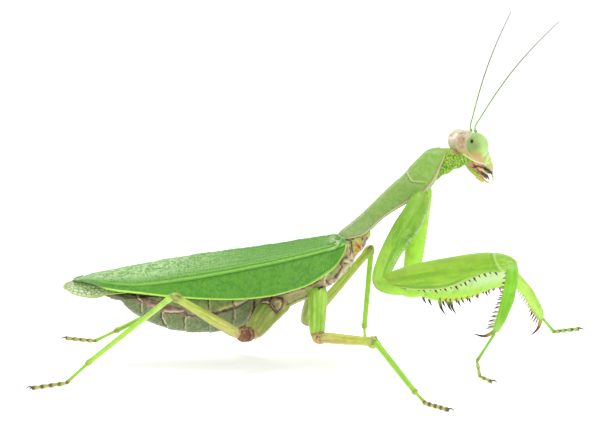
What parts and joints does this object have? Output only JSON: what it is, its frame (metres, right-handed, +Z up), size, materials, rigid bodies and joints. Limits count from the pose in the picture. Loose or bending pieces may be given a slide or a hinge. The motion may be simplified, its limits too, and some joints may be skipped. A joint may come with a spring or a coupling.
{
  "type": "praying mantis",
  "caption": "Life-size still model of a green adult female praying mantis, standing on all its feet with folded wings, raised front body and spined grasping forelegs held low in front.",
  "frame": {"origin": "middle of the animal's box on the floor that its feet stand on", "axes": "+X forward, the way the folded body points towards the head; +Y the animal's left; +Z up from the floor"},
  "size_m": [0.0998, 0.071, 0.0615],
  "materials": {
    "fore_wing": "leathery, faint sheen",
    "hind_wing": "thin, satin",
    "shield": "satin",
    "belly": "satin",
    "thorax": "matte",
    "head": "satin",
    "eye": "gloss",
    "jaw": "satin",
    "feeler": "satin",
    "fore_leg": "satin",
    "leg_green": "satin",
    "leg_brown": "satin",
    "leg_joint": "satin",
    "foot": "matte"
  },
  "bodies": {
    "root": {"abdomen": "belly", "antenna_left": "feeler", "antenna_right": "feeler", "cercus_left": "belly", "cercus_right": "belly", "coxa_fore_left": "fore_leg", "coxa_fore_right": "fore_leg", "coxa_hind_left": "leg_green", "coxa_hind_right": "leg_green", "coxa_mid_left": "leg_green", "coxa_mid_right": "leg_green", "eye_left": "eye", "eye_right": "eye", "femur_fore_left": "fore_leg", "femur_fore_right": "fore_leg", "femur_hind_left": "leg_brown", "femur_hind_right": "leg_brown", "femur_mid_left": "leg_brown", "femur_mid_right": "leg_brown", "head": "head", "hindwing_left": "hind_wing", "hindwing_right": "hind_wing", "labium": "jaw", "mandible_left": "jaw", "mandible_right": "jaw", "maxilla_left": "jaw", "maxilla_right": "jaw", "neck": "shield", "pronotum": "shield", "tarsus_fore_left": "foot", "tarsus_fore_right": "foot", "tarsus_hind_left": "foot", "tarsus_hind_right": "foot", "tarsus_mid_left": "foot", "tarsus_mid_right": "foot", "tegmen_left": "fore_wing", "tegmen_right": "fore_wing", "thorax": "thorax", "tibia_fore_left": "fore_leg", "tibia_fore_right": "fore_leg", "tibia_hind_left": "leg_green", "tibia_hind_right": "leg_green", "tibia_mid_left": "leg_green", "tibia_mid_right": "leg_green", "trochanter_fore_left": "fore_leg", "trochanter_fore_right": "fore_leg", "trochanter_hind_left": "leg_joint", "trochanter_hind_right": "leg_joint", "trochanter_mid_left": "leg_joint", "trochanter_mid_right": "leg_joint"}
  },
  "joints": []
}
